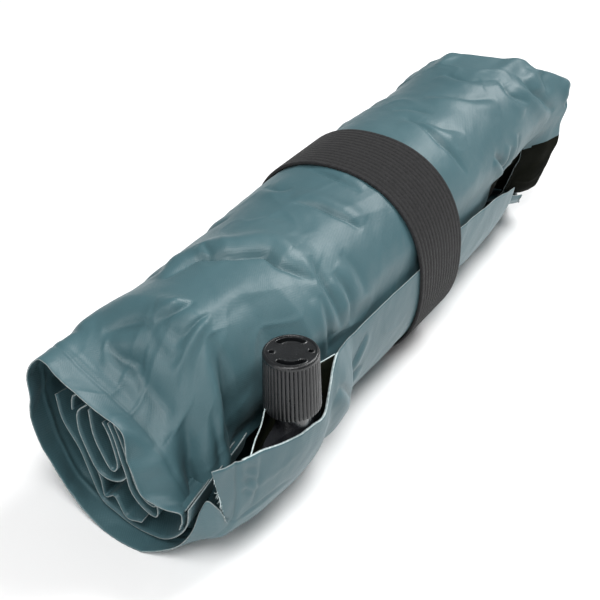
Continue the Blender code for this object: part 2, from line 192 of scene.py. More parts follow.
def loft_faces(sections, sides, inward=False):
    """Faces of a closed tube of sections: its wall, then its two ends."""
    index = np.arange(sections * sides).reshape(sections, sides)
    after = np.roll(index, -1, axis=1)
    wall = np.stack([index[:-1].ravel(), after[:-1].ravel(), after[1:].ravel(), index[1:].ravel()], 1)
    faces = wall.tolist() + [index[0, ::-1].tolist(), index[-1].tolist()]
    return [face[::-1] for face in faces] if inward else faces


def grid_normals(grid):
    normal = np.cross(np.gradient(grid, axis=0), np.gradient(grid, axis=1))
    return normal / np.maximum(np.linalg.norm(normal, axis=2, keepdims=True), 1e-9)


def sheet_object(name, grid, thickness, materials, face_material=None, first_rim=None):
    """A closed sheet over a grid of points, with its normal side outside. Its rim takes material 1."""
    rows, columns = grid.shape[:2]
    depth = np.broadcast_to(thickness, (rows, columns))[..., None]
    points = np.concatenate([grid.reshape(-1, 3), (grid - grid_normals(grid) * depth).reshape(-1, 3)])
    index = np.arange(rows * columns).reshape(rows, columns)
    a, b = index[:-1, :-1].ravel(), index[1:, :-1].ravel()
    c, d = index[1:, 1:].ravel(), index[:-1, 1:].ravel()
    upper = np.stack([a, b, c, d], 1)
    lower = np.stack([a, d, c, b], 1) + rows * columns
    border = np.concatenate([index[0, :-1], index[:-1, -1], index[-1, :0:-1], index[:0:-1, 0]])
    after = np.roll(border, -1)
    rims = np.stack([border, after, after + rows * columns, border + rows * columns], 1)
    faces = np.concatenate([upper, lower, rims])
    made = new_object(name, points, faces.tolist())
    for material in materials:
        made.data.materials.append(material)
    slots = np.ones(len(faces), np.int32)
    rim = 2 * len(upper)
    slots[:rim] = 0 if face_material is None else np.tile(face_material.ravel(), 2)
    if first_rim is not None:
        slots[rim:rim + columns - 1] = first_rim[:columns - 1]
    made.data.polygons.foreach_set("material_index", slots)
    add_uv(made, grid)
    return made


def add_uv(made, grid):
    """Lengths in metres along the sheet's two directions, for the weave."""
    u = running(np.linalg.norm(np.diff(grid, axis=0), axis=2).mean(axis=1))[:, None]
    v = running(np.linalg.norm(np.diff(grid, axis=1), axis=2).mean(axis=0))
    flat = np.stack(np.broadcast_arrays(u, v), 2).reshape(-1, 2) * MM
    flat = np.concatenate([flat, flat]).astype(np.float32)
    layer = made.data.uv_layers.new(name="cloth")
    loops = np.zeros(len(made.data.loops), np.int32)
    made.data.loops.foreach_get("vertex_index", loops)
    layer.data.foreach_set("uv", flat[loops].ravel())


# A direction that no thread runs along
TUBE_GUIDE = (0.31, 0.52, 0.79)


def tube_object(name, path, radii, sides, material):
    """A round thread along a path."""
    tangent = np.gradient(path, axis=0)
    tangent /= np.linalg.norm(tangent, axis=1, keepdims=True)
    side = np.cross(tangent, TUBE_GUIDE)
    side /= np.linalg.norm(side, axis=1, keepdims=True)
    other = np.cross(tangent, side)
    turn = (np.arange(sides) * 2.0 * math.pi / sides)[None, :, None]
    ring = side[:, None] * np.cos(turn) + other[:, None] * np.sin(turn)
    points = path[:, None] + radii[:, None, None] * ring
    made = new_object(name, points.reshape(-1, 3), loft_faces(len(path), sides))
    made.data.materials.append(material)
    return made


# Outer turn of the roll: where it is

# Outlines of the squashed valve end, seen along the roll, at its weld and at its rim: direction
# from the centre (0 towards +Y, 90 up) and distance
END_CENTER = np.array([8.0, 40.0])
WELD_X = -149.0
# Where the squash starts, how long it takes, and how long the loose lip beyond the weld is
SQUASH_X, SQUASH_RUN, LIP = -118.0, 30.0, 11.0
WELD_OUTLINE = (
    (-180, 25), (-168, 28), (-156, 32), (-147, 37), (-135, 40.5), (-125, 41), (-105, 39.5),
    (-90, 38.6), (-70, 40.5), (-55, 44), (-42, 46), (-27, 45), (-5, 42.5), (20, 45), (35, 48.5),
    (48, 47), (58, 38.5), (71, 29.5), (90, 23), (110, 18.5), (123, 17.2), (145, 19), (164, 22),
    (180, 25),
)
RIM_OUTLINE = (
    (-180, 18), (-170, 20.5), (-162, 29), (-153, 40), (-145, 42), (-125, 41), (-105, 40.2),
    (-90, 40), (-72, 41), (-55, 42), (-42, 42.5), (-27, 43.5), (-5, 41.5), (20, 41), (35, 46),
    (49, 47.5), (58, 41), (68, 34.5), (82, 27.5), (95, 24.5), (118, 21.5), (135, 18), (150, 16),
    (165, 16), (180, 18),
)
# Where the cloth of the valve end stops, by psi
NEAR_RIM = (
    (-30, -158), (0, -159), (40, -158), (90, -160), (125, -156), (150, -154), (180, -158),
    (215, -158), (233, -160), (248, -160.5), (262, -160), (285, -160), (300, -162),
    (330, -163), (352, -160), (380, -158),
)
# Where the folded end stops
FAR_RIM = (
    (-30, 127), (22, 128), (40, 142), (65, 163), (90, 165), (150, 154), (200, 144),
    (225, 140), (255, 143), (268, 146.5), (280, 152), (292, 158.5), (303, 159), (310, 167),
    (322, 177), (335, 178.5), (345, 173), (352, 168), (380, 160), (410, 158),
)
# The roll narrows low on its valve side, towards the folded end
NARROWING = (
    (-160, 0), (5, 0), (38, 3.4), (77, 4), (99, 4.8), (115, 7), (135, 9.5), (150, 9), (160, 6),
    (170, 3),
)
# and is a little flatter high on its other side
FLANK = (
    (-150, 0), (-125, 1.5), (-105, 4), (-80, 3.2), (-45, 1.8), (-15, 0.6), (45, 0.5), (100, 1.8),
    (130, 1), (160, 0),
)
# Free edge of the outer turn, by x
FREE_EDGE = (
    (-170, -12), (-110, -10), (-64, -9.5), (0, -9), (40, -7), (68, -4), (86, -2), (106, 3),
    (125, 9), (150, 16), (172, 20),
)


def oval(psi):
    """The roll's plain outline, round its centre."""
    across, down = np.cos(np.radians(psi)), np.sin(np.radians(psi))
    power = 2.0 / OVAL_POWER
    y = -HALF_WIDTH * np.sign(across) * np.abs(across) ** power
    z = -HALF_HEIGHT * np.sign(down) * np.abs(down) ** power
    return y, z


NORMAL_STEP = 2.0


def oval_normal(psi):
    y0, z0 = oval(psi - NORMAL_STEP)
    y1, z1 = oval(psi + NORMAL_STEP)
    length = np.hypot(y1 - y0, z1 - z0)
    return (z1 - z0) / length, (y0 - y1) / length


# The planed-off top of the valve end, by psi: (y, z) at the weld, (y, z) at the rim
END_TOP = (
    (196, 46, 62, 46.5, 62), (208, 44, 70, 44, 70.5), (219, 39, 75.5, 38.5, 76.5),
    (234, 28.5, 72.3, 29.5, 74.5), (248, 18, 67.6, 22.5, 71.6), (258, 11.5, 64, 14.5, 67.7),
    (272, 3.5, 58.5, 6.3, 63.4), (286, -4, 53, -0.6, 59.6), (303, -10.5, 48.8, -4.4, 49.6),
    (320, -14.8, 43.5, -8, 41.8), (335, -18.2, 37.5, -11.3, 35.6), (346, -20.4, 31, -18, 33),
    (356, -22, 26.5, -25.5, 33.5), (366, -23.2, 21.5, -26, 28), (382, -22.5, 14, -22.5, 20),
)
END_TOP_FROM, END_TOP_TO, END_TOP_EASE = 198.0, 400.0, 18.0


def end_radius(direction, outline):
    """Distance of an end outline from its centre, softened over a few degrees."""
    fine = np.arange(-180.0, 180.0, 1.0)
    ring = table(fine, outline)
    around = np.concatenate([ring[-10:], ring, ring[:10]])
    soft = np.convolve(around, bell(13), mode="same")[10:-10]
    return np.interp(wrap180(direction), np.append(fine, 180.0), np.append(soft, soft[0]))


def narrowing(x, psi):
    """How far the roll's surface lies inside the oval."""
    place = wrap180(psi)
    spread = np.where(place < 35.0, smooth((place + 75.0) / 110.0), smooth((110.0 - place) / 75.0))
    return table(x, NARROWING, 30.0) * spread + table(x, FLANK, 12.0) * hump(wrap180(psi + 118.0), 34.0)


def hermite(at, keys, values):
    """Smooth curve through values at the given keys; at may be any array."""
    keys, values = np.asarray(keys, float), np.asarray(values, float)
    slope = np.gradient(values, keys, axis=0)
    at = np.clip(at, keys[0], keys[-1])
    i = np.clip(np.searchsorted(keys, at, side="right") - 1, 0, len(keys) - 2)
    span = keys[i + 1] - keys[i]
    t = (at - keys[i]) / span
    lift = (...,) + (None,) * (values.ndim - 1)
    t, span = t[lift], span[lift]
    return hermite_span(t, values[i], values[i + 1], span * slope[i], span * slope[i + 1])


def roll_section(x, psi, inset=0.0):
    """Point (y, z) of the outer surface before wrinkles."""
    y, z = oval(psi)
    ny, nz = oval_normal(psi)
    pinch = narrowing(x, psi) + inset
    y, z = y - ny * pinch, z - nz * pinch
    low = GROUND - ROLL_Z
    z = np.maximum(z, low + (z - low) * GROUND_GIVE)
    y, z = y + ROLL_Y, z + ROLL_Z
    away = np.degrees(np.arctan2(z - END_CENTER[1], y - END_CENTER[0]))
    to_weld = smooth((SQUASH_X - x) / SQUASH_RUN)
    to_rim = smooth((WELD_X - x) / LIP)
    radius = end_radius(away, WELD_OUTLINE) * (1 - to_rim) + end_radius(away, RIM_OUTLINE) * to_rim - inset
    end_y = END_CENTER[0] + radius * np.cos(np.radians(away))
    end_z = END_CENTER[1] + radius * np.sin(np.radians(away))
    top = hermite(psi, np.array(END_TOP)[:, 0], np.array(END_TOP)[:, 1:])
    on_top = smooth((psi - END_TOP_FROM) / END_TOP_EASE) * smooth((END_TOP_TO - psi) / END_TOP_EASE)
    end_y += (top[..., 0] * (1 - to_rim) + top[..., 2] * to_rim - end_y) * on_top
    end_z += (top[..., 1] * (1 - to_rim) + top[..., 3] * to_rim - end_z) * on_top
    return y + (end_y - y) * to_weld, z + (end_z - z) * to_weld


# The corner that holds the valve: the outer turn's free edge bulges out round the valve's fin.
# Each station is an x, its leans and its points (y, z) from the roll's underside up to the free edge.
# How far a station's points stand off its x, from the first to the last
UPRIGHT = (0.0,) * 12
TOP_LEANS = (0.0,) * 11 + (-0.5,)
TAB_LEANS = (0, 0, 0, 0, 0.5, 1, 1, 1.5, 2, 2.5, 1.5, 0)
TIP_LEANS = (0, 1, 2, 3, 4, 4, 5, 5, 6.5, 9, 5.5, 1.5)
FOOT = ((6.7, 1.5), (-0.5, 1.7))
CORNER = (
    (-160.0, TIP_LEANS, ((6.7, 0.6), (-0.5, 1), (-7, 2.5), (-14, 6), (-20, 11), (-26, 21), (-30, 33),
        (-34, 40.5), (-37.5, 36.5), (-38.5, 28.5), (-39.5, 43), (-40, 59.6))),
    (-150.0, TAB_LEANS, ((6.7, 1.2), (-0.5, 1.4), (-7, 2), (-14, 4), (-20, 7), (-26, 11.5), (-30.5, 16),
        (-34, 20.5), (-37, 25), (-39, 30), (-41.5, 43), (-43, 58.6))),
    (-138.0, UPRIGHT, ((6.7, 1.4), (-0.5, 1.6), (-7, 2.2), (-14, 3.6), (-21, 5.8), (-27.5, 9), (-33, 13),
        (-37.5, 18), (-41, 24), (-43.5, 31.5), (-45, 42), (-45.3, 56))),
    (-122.0, UPRIGHT, FOOT + ((-7, 2.2), (-14, 3.3), (-21, 5.2), (-28, 8.2), (-34.5, 12.4), (-40, 18),
        (-44, 25), (-46.8, 33), (-48.2, 42), (-48, 51.3))),
    (-108.0, UPRIGHT, FOOT + ((-7, 2.2), (-14, 3.3), (-21, 5.2), (-28, 8.2), (-35, 12.4), (-41, 18.2),
        (-45.2, 25), (-47.6, 32), (-48.6, 40), (-48.5, 48.4))),
    (-97.0, UPRIGHT, FOOT + ((-7, 2.2), (-14, 3.3), (-21, 5.4), (-28, 8.8), (-34.5, 13.2), (-40, 18.8),
        (-44, 25.2), (-46.4, 32), (-47.5, 39), (-47.4, 46.5))),
    (-90.0, TOP_LEANS, FOOT + ((-7, 2.2), (-14, 3.4), (-21, 5.8), (-27.5, 9.2), (-33.5, 14), (-38.3, 20),
        (-42, 27), (-44.5, 35), (-45.8, 44), (-45.6, 53.6))),
    (-80.0, TOP_LEANS, FOOT + ((-7, 2.3), (-14, 3.5), (-20.5, 5.8), (-27, 9), (-34, 13.6), (-39.5, 20),
        (-43.2, 28), (-45.4, 38), (-45.4, 49), (-42.2, 61))),
    (-70.0, UPRIGHT, FOOT + ((-7, 2.4), (-14, 3.8), (-20, 6), (-26.5, 9), (-33, 13.6), (-38, 20),
        (-41.4, 28), (-43, 38), (-42.4, 48.5), (-39.2, 59))),
    (-56.0, UPRIGHT, FOOT + ((-7, 2.6), (-14, 4.4), (-20, 7), (-25.5, 10.4), (-30.3, 15.4), (-33.8, 22),
        (-36, 30), (-37.1, 39), (-37.3, 48), (-36.9, 57))),
)


def station_rows(stations):
    """The points (x, y, z) of each station."""
    rows = []
    for x, leans, points in stations:
        rows.append([(x + lean, y, z) for lean, (y, z) in zip(leans, points)])
    return np.array(rows)


def corner_point(x, psi):
    """Place of the outer turn's cloth in the corner: psi 90 is the first point of a station."""
    keys = np.array([station[0] for station in CORNER])
    rows = station_rows(CORNER)
    last = rows.shape[1] - 1
    up = last * (90.0 - psi) / (90.0 - table(x, FREE_EDGE))
    along = hermite(x, keys, rows)
    flat = along.reshape(-1, last + 1, 3)
    place = np.clip(up.ravel(), 0.0, last)
    i = np.clip(place.astype(int), 0, last - 1)
    t = (place - i)[:, None]
    slope = np.gradient(flat, axis=1)
    pick = np.arange(len(flat))
    point = hermite_span(t, flat[pick, i], flat[pick, i + 1], slope[pick, i], slope[pick, i + 1])
    return point.reshape(x.shape + (3,))


# Hollow in the roll behind the cap
DENT_SHARE = 0.27
DENT_X = ((-136, 0.0), (-124, 1.0), (-98, 1.0), (-84, 0.0))

# Outer turn's grid, the fold at its far end, and how far the cloth goes back in beyond the fold
ROWS, COLUMNS = 400, 400
LAST_PSI, FAR_EXTRA = 380.0, 24.0
NEAR_X, FAR_X = -160.0, 165.0
NEAR_FROM, FAR_FROM = -130.0, 105.0
FOLD_R = 5.0
FOLD_STEPS = 10
TUCK = (4.0, 9.0, 16.0, 26.0)
TABLE_EASE, RIM_EASE, FAR_EASE = 25.0, 12.0, 6.0


def turn_grid():
    """Parameters (x, psi) of the outer turn's grid: rows run round the roll, columns along it."""
    along = np.linspace(NEAR_X, FAR_X - FOLD_R, COLUMNS)
    share = np.linspace(0.0, 1.0, ROWS)[:, None]
    edge = table(along, FREE_EDGE, TABLE_EASE)[None]
    last = LAST_PSI + FAR_EXTRA * smooth((along[None] - 55.0) / 40.0)
    psi = edge + share * (last - edge)
    return np.broadcast_to(along[None], psi.shape), psi


def under_flap(x, psi):
    """How far the turn dips where it passes under its own free edge."""
    dip = 2.4 * smooth((psi - 334.0) / 17.0) + 3.5 * smooth((psi - 354.0) / 22.0)
    gap = smooth((x - 62.0) / 60.0) * smooth((152.0 - x) / 25.0)
    behind_cap = 6.0 * smooth((psi - 358.0) / 16.0) * smooth((-92.0 - x) / 12.0)
    return dip * smooth((155.0 - x) / 30.0) + gap * 6.5 * smooth((psi - 347.0) / 9.0) + behind_cap


def lip_waves(x, psi):
    """Loose waves of the cloth beyond the weld."""
    share = smooth((WELD_X + 4.0 - x) / 12.0)
    return share * (1.1 * noise(psi / 31.0 + 3.0, x / 60.0 + 5.0, 0) + 0.5 * noise(psi / 12.0, x / 30.0, 1))


def far_share(x):
    return smooth((x - FAR_FROM) / 55.0)


def far_shift(x, psi):
    """How far the far end's rim stands off its mean place."""
    return (table(psi, FAR_RIM, FAR_EASE) - FAR_X) * far_share(x)


def dent(x, y, z):
    """What the hollow behind the cap takes off y on the valve side."""
    return np.minimum(y - ROLL_Y, 0.0) * DENT_SHARE * table(x, DENT_X, 8.0) * smooth((z - 20.0) / 25.0)


def base_turn():
    """The outer turn without its wrinkles, and its parameters."""
    x, psi = turn_grid()
    y, z = roll_section(x, psi, under_flap(x, psi))
    near = smooth((NEAR_FROM - x) / (NEAR_FROM - NEAR_X))
    real_x = x + (table(psi, NEAR_RIM, RIM_EASE) - NEAR_X) * near + far_shift(x, psi)
    y = y - dent(x, y, z) * smooth((psi - 275.0) / 30.0)
    grid = np.stack([real_x, y, z], 2)
    corner = corner_point(x, psi)
    share = (smooth((-58.0 - x) / 12.0) * smooth((88.0 - psi) / 32.0))[..., None]
    return x, psi, grid + (corner - grid) * share


# Wrinkles. Each is how deep, how wide, the height and width of a swelling on one side of it, and a
# line of (x, psi). The swelling is on the right of the line's direction when x runs up and psi left.
CREASES = (
    # the large fold that runs over the top, and the line that hooks down from it
    (2.6, 1.5, 2.4, 9, (-68, 313), (-71, 304), (-72.6, 299), (-74.5, 293), (-74, 288), (-73.4, 282),
     (-80, 273.5), (-84.6, 267), (-89, 257), (-104, 252)),
    (1, 1, 0.5, 3, (-80, 255), (-82, 259), (-84, 264)),
    (1.6, 1.8, 1.1, 5, (-60, 300), (-62, 308), (-63.8, 317), (-64.5, 328), (-64, 343)),
    (1.3, 1.8, 0.8, 4, (-70, 320), (-72, 335), (-73, 352)),
    (1.4, 2, 0.9, 4.5, (-56, 316), (-54, 330), (-56, 348)),
    (0.9, 2.6, 0.6, 6, (-46, 310), (-43, 325), (-44, 338)),
    # near the valve end: lens, star and its branches
    (1.7, 1.4, 1.2, 5, (-134, 238), (-130, 250), (-127.5, 262), (-128, 270)),
    (1.7, 1.1, 1.3, 4, (-114, 278), (-119, 276.5), (-123, 273), (-126, 267)),
    (1.4, 1.6, 1, 4.5, (-126, 268), (-127, 276), (-126.5, 283), (-121, 289), (-115, 292)),
    (1.9, 1.8, 0.8, 4, (-137, 242), (-137.5, 253), (-136, 268)),
    (1, 1.8, 0.9, 4.5, (-137, 256), (-139.5, 275), (-140, 300)),
    (1.2, 1.4, 0.8, 4, (-130, 267), (-131.5, 280), (-129, 288)),
    # the pleats that fall from the planed-off corner
    (4.6, 2.3, 0.8, 4, (-140, 303), (-141.5, 318), (-143.5, 338), (-146, 374)),
    (1.7, 1.8, 1.2, 4, (-133, 322), (-134.5, 340), (-136.5, 366)),
    (3.2, 3.8, 2, 6, (-120, 305), (-122.5, 318), (-124.5, 340), (-124, 366)),
    (1, 1.4, 0.6, 3, (-128, 330), (-130, 345), (-129, 362)),
    # towards the strap
    (1.5, 1.2, 1, 6, (-27, 308), (-30.5, 292), (-31.5, 279), (-35, 268)),
    (1.1, 1.1, 0.6, 4.5, (-9, 290), (-8.4, 274), (-6, 258)),
    (0.9, 1.5, 0.6, 5, (-22, 240), (-26, 252), (-24, 262)),
    (0.6, 3.5, 0.5, 8, (-50, 262), (-47, 275), (-50, 288)),
    # beyond the strap
    (1.3, 1.2, 0.5, 6, (56, 326), (53.5, 308), (53, 292), (61, 268)),
    (1.2, 2.6, 1, 6, (60, 270), (61, 282), (63, 292), (72, 303)),
    (1.4, 2.6, 1.1, 6.5, (88, 266), (93, 277), (98, 288), (111, 300)),
    (0.9, 1.6, 0.5, 5, (68, 258), (71, 268), (69, 280)),
    (1.2, 2.2, 0.9, 6, (118, 262), (113, 275), (118, 284)),
    (1.4, 2.4, 1, 6, (128, 290), (124, 305), (128, 318)),
    (1.5, 2, 1, 5, (146, 300), (138, 312), (139, 326), (145, 338)),
    (2.6, 1.6, 1.5, 4, (172, 322), (163, 330), (158, 341)),
    (1.4, 1.6, 0.9, 4, (160, 306), (152, 312), (144, 322)),
    (1.9, 1.7, 1.2, 4, (84, 330), (90, 338), (94, 347)),
    (1.5, 1.6, 1, 4, (102, 334), (96, 345), (84, 352)),
    (1.1, 1.4, 0.8, 4, (112, 330), (109, 341), (106, 350)),
    # the flap's puckers under the strap's near edge
    (1, 1.2, 0.7, 3, (-62, 8), (-56, 2), (-48, -3)),
    (0.9, 1.4, 0.7, 4, (-66, 16), (-58, 12), (-50, 12)),
    # the corner: its seam, the puckers beside it, the hem, and the fold at the pocket's end
    (0.5, 0.8, 0.3, 2.5, (-136.5, -9), (-138, -6), (-139, -2), (-140, 3), (-141, 8)),
    (0.55, 0.7, 0.4, 1.8, (-138.5, -6.5), (-142, -7.5), (-146, -8)),
    (0.6, 0.7, 0.4, 1.8, (-139, -3), (-143, -4.5), (-147.5, -5)),
    (0.5, 0.7, 0.4, 1.8, (-139.5, 1), (-144, -1), (-148, -2)),
    (0.35, 0.7, 0.2, 2.5, (-151, 15), (-140, 9.6), (-129.5, 9), (-118, 12)),
    (1.3, 1.4, 0.8, 4, (-85, -2), (-77, 5), (-68, 15)),
    # the far side and the underside
    (0.9, 1.8, 0.5, 8, (-120, 150), (-90, 165), (-60, 162)),
    (0.9, 1.6, 0.4, 7, (-70, 200), (-40, 188), (-20, 196)),
    (1, 1.7, 0.5, 6, (-130, 205), (-118, 190), (-120, 170)),
    (1, 1.7, 0.5, 6, (-98, 245), (-92, 225), (-96, 205), (-90, 185)),
    (0.8, 1.6, 0.4, 6, (-50, 240), (-54, 222), (-48, 205)),
    (1.2, 1.8, 0.6, 5, (-136, 230), (-138, 205), (-136, 180), (-139, 150)),
    (1, 1.7, 0.5, 6, (50, 240), (54, 215), (50, 190), (56, 165)),
    (0.9, 1.8, 0.5, 8, (50, 170), (85, 182), (120, 176)),
    (0.8, 1.5, 0.4, 5, (78, 240), (84, 220), (80, 200)),
    (1.1, 1.8, 0.6, 6, (120, 235), (126, 205), (122, 175), (128, 150)),
    (0.8, 1.5, 0.4, 5, (104, 225), (100, 205), (106, 190)),
    (0.9, 2, 0.5, 7, (-110, 45), (-80, 60), (-50, 50)),
    (0.9, 2, 0.5, 7, (60, 60), (95, 48), (120, 62)),
    (0.8, 1.8, 0.4, 7, (-30, 130), (-60, 120), (-95, 126)),
    (0.8, 1.8, 0.4, 7, (48, 130), (80, 118), (110, 128)),
)
CREASE_DEPTH = 1.35

ARC_PSI = np.arange(-40.0, 420.0, 1.0)
ARC_LENGTH = running(np.hypot(*np.diff(oval(ARC_PSI), axis=1)))


def arc(psi):
    """Length round the roll up to psi."""
    return np.interp(psi, ARC_PSI, ARC_LENGTH)


CREASE_POINTS = 30


def crease_relief(x, s, line, depth, width, swell, swell_width):
    """Height that one crease adds over the grid, where s is the length round the roll."""
    path = curve_points([(p[0], arc(p[1])) for p in line], CREASE_POINTS)
    reach = 3.0 * max(width, swell_width)
    low, high = path.min(axis=0) - reach, path.max(axis=0) + reach
    inside = (x > low[0]) & (x < high[0]) & (s > low[1]) & (s < high[1])
    px, ps = x[inside], s[inside]
    best = np.full(px.shape, 1e9)
    place = np.zeros(px.shape)
    side = np.zeros(px.shape)
    count = len(path) - 1
    for i in range(count):
        start_x, start_s = path[i]
        dx, ds = path[i + 1] - path[i]
        t = np.clip(((px - start_x) * dx + (ps - start_s) * ds) / (dx * dx + ds * ds), 0.0, 1.0)
        off_x, off_s = px - start_x - t * dx, ps - start_s - t * ds
        distance = np.hypot(off_x, off_s)
        near = distance < best
        best = np.where(near, distance, best)
        place = np.where(near, (i + t) / count, place)
        side = np.where(near, np.sign(dx * off_s - ds * off_x), side)
    taper = np.sin(math.pi * np.clip(place, 0.0, 1.0)) ** 0.6
    end_fade = hump(np.maximum(best - width * 0.5, 0.0), width * 3.0)
    valley = -depth * taper / (1.0 + (best / width) ** 2) * end_fade
    bulge = swell * taper * hump(best * side - swell_width * 0.9, swell_width * 0.8)
    relief = np.zeros(x.shape)
    relief[inside] = valley + bulge
    return relief


def wrinkles(x, psi):
    """All the relief of the outer turn: creases, ripples, puckers, crumples and the ends' own."""
    s = arc(psi)
    relief = np.zeros(x.shape)
    for depth, width, swell, swell_width, *line in CREASES:
        relief += crease_relief(x, s, line, CREASE_DEPTH * depth, width, CREASE_DEPTH * swell, swell_width)
    # broad softness and small puckers, calmer under the strap
    calm = 1.0 - 0.75 * hump(x - (STRAP_X0 + STRAP_X1) / 2.0, 22.0)
    relief += calm * 0.7 * noise(x / 34.0, s / 27.0, 2)
    relief += calm * 0.28 * noise(x / 13.0 + s / 40.0, s / 11.0, 3)
    relief += 0.10 * noise(x / 5.0, s / 4.3 + x / 9.0, 4)
    patch = calm * smooth(0.5 + 1.2 * noise(x / 30.0 + 9.0, s / 24.0, 6))
    ridge = 1.0 - 2.0 * np.abs(noise(x / 19.0 + s / 33.0, s / 14.0 - x / 60.0, 1))
    relief += 0.45 * patch * np.maximum(ridge, 0.0) ** 2
    # ends: gathers that run into the folded end, and the valve end's weld
    relief += smooth((x - 118.0) / 45.0) * 1.3 * noise(psi / 9.0, x / 50.0, 5)
    relief -= 0.5 * hump(x - WELD_X, 0.9)
    relief += 0.35 * hump(x - WELD_X - 2.6, 1.6)
    return relief


def far_fold(end, psi):
    """Further columns of the grid: the cloth turns in at the folded end and runs back inside."""
    ny, nz = oval_normal(psi)
    outward = np.stack([np.zeros(ROWS), ny, nz], 1)
    folded = 0.04 + 0.96 * smooth((psi[:, None] - 42.0) / 30.0)
    wave = 1.0 + 0.25 * noise(psi / 8.0, 0.0 * psi, 5)
    columns = []
    for turn in np.arange(1, FOLD_STEPS + 1) * math.pi / FOLD_STEPS:
        step = outward * (-FOLD_R * (1.0 - math.cos(turn)))
        step[:, 0] = FOLD_R * math.sin(turn) * wave
        columns.append(end + step * folded)
    for back in TUCK:
        step = outward * (-2.0 * FOLD_R)
        step[:, 0] = -back
        columns.append(end + step * folded)
    return np.stack(columns, 1)


# The raw cut edge beside the valve: where along the roll, how wide and how much thicker
RAW_X = (-146.0, -79.0)
RAW_WIDTH, RAW_T = 3.0, 0.5
LOWEST = 0.2


def outer_turn(cloth, cut_edge, near_black_face, raw_edge):
    """The roll's outer turn with its flap, corner and folded end; a near-black band on it is painted shade in
    the gap under the flap's far end.
    """
    x, psi, grid = base_turn()
    normal = grid_normals(grid)
    grid = grid + normal * (wrinkles(x, psi) + lip_waves(x, psi))[..., None]
    grid[..., 2] = np.maximum(grid[..., 2], LOWEST + GROUND_GIVE * (grid[..., 2] - LOWEST))
    folded_end = far_fold(grid[:, -1], psi[:, -1])
    grid = np.concatenate([grid, folded_end], 1)
    added = folded_end.shape[1]
    # Painted shade: faces that run under the free edge towards the folded end, and the fold beyond them, take
    # the near-black material for the shadow in that gap.
    painted_shade_band = (psi > 349.0 + 8.0 * smooth((x - 108.0) / 30.0)) & (x > 84.0)
    painted_shade_band = np.pad(painted_shade_band, ((0, 0), (0, added)), mode="edge")
    edge_x = grid[0, :, 0]
    raw = (edge_x > RAW_X[0]) & (edge_x < RAW_X[1])
    nearness = smooth((RAW_WIDTH - arc(psi) + arc(psi[:1])) / RAW_WIDTH)
    thickness = CLOTH_T + RAW_T * np.pad(nearness, ((0, 0), (0, added))) * raw[None]
    materials = [cloth, cut_edge, near_black_face, raw_edge]
    return sheet_object("pad_outer_turn", grid, thickness, materials, painted_shade_band[:-1, :-1] * 2, np.where(raw, 3, 1))


# Inner turns: the folded pad's further layers, rolled up inside the outer one

INNER_TURNS, INNER_ROWS = 3.2, 330
INNER_PSI, INNER_DEPTH = 352.0, 5.5
TURN_PITCH = 10.5
LAYER_T = 8.6
INNER_NEAR_X = -118.0


def inner_turns(cloth):
    """A spiral of the folded pad: padded layers whose fold is rounded at the far end."""
    rows = INNER_ROWS
    turned = np.linspace(0.0, 360.0 * INNER_TURNS, rows)
    psi = INNER_PSI + turned
    depth = INNER_DEPTH + TURN_PITCH * turned / 360.0
    fold = LAYER_T / 2.0
    profile = [(INNER_NEAR_X + 2.0, 0.0)]
    profile += [(step, 0.0) for step in np.linspace(INNER_NEAR_X + 8.0, 120.0, 24)]
    profile += [(step, 0.0) for step in np.linspace(124.0, FAR_X - fold, 14)]
    for turn in np.linspace(0.2, math.pi, 11):
        profile.append((FAR_X - fold + fold * math.sin(turn), fold * (1 - math.cos(turn))))
    profile += [(step, LAYER_T) for step in np.linspace(155.0, INNER_NEAR_X + 2.0, 10)]
    profile += [(INNER_NEAR_X, LAYER_T * 0.5)]
    profile = np.array(profile)
    count = len(profile)
    x = np.broadcast_to(profile[:, 0][None], (rows, count))
    ply = np.broadcast_to(profile[:, 1][None], x.shape)
    angle = np.broadcast_to(psi[:, None], x.shape)
    under = under_flap(x, np.minimum(angle, LAST_PSI)) * smooth((150.0 - turned[:, None]) / 90.0)
    inset = depth[:, None] + ply + under
    y, z = roll_section(x, angle, inset)
    y = y - dent(x, y, z)
    around = (angle + 20.0) % 360.0 - 20.0
    shift = far_shift(x, np.where(around < 65.0, LAST_PSI, around))
    gather = 0.9 * noise(angle / 10.0, turned[:, None] / 90.0 + 0 * x, 6)
    grid = np.stack([x + shift + (gather - 3.0) * far_share(x), y, z], 2)
    made = new_object("pad_inner_turns", grid.reshape(-1, 3), loft_faces(rows, count, inward=True))
    made.data.materials.append(cloth)
    return made


# Loose folds of cloth inside the valve end, each a line across the end that runs back along the roll

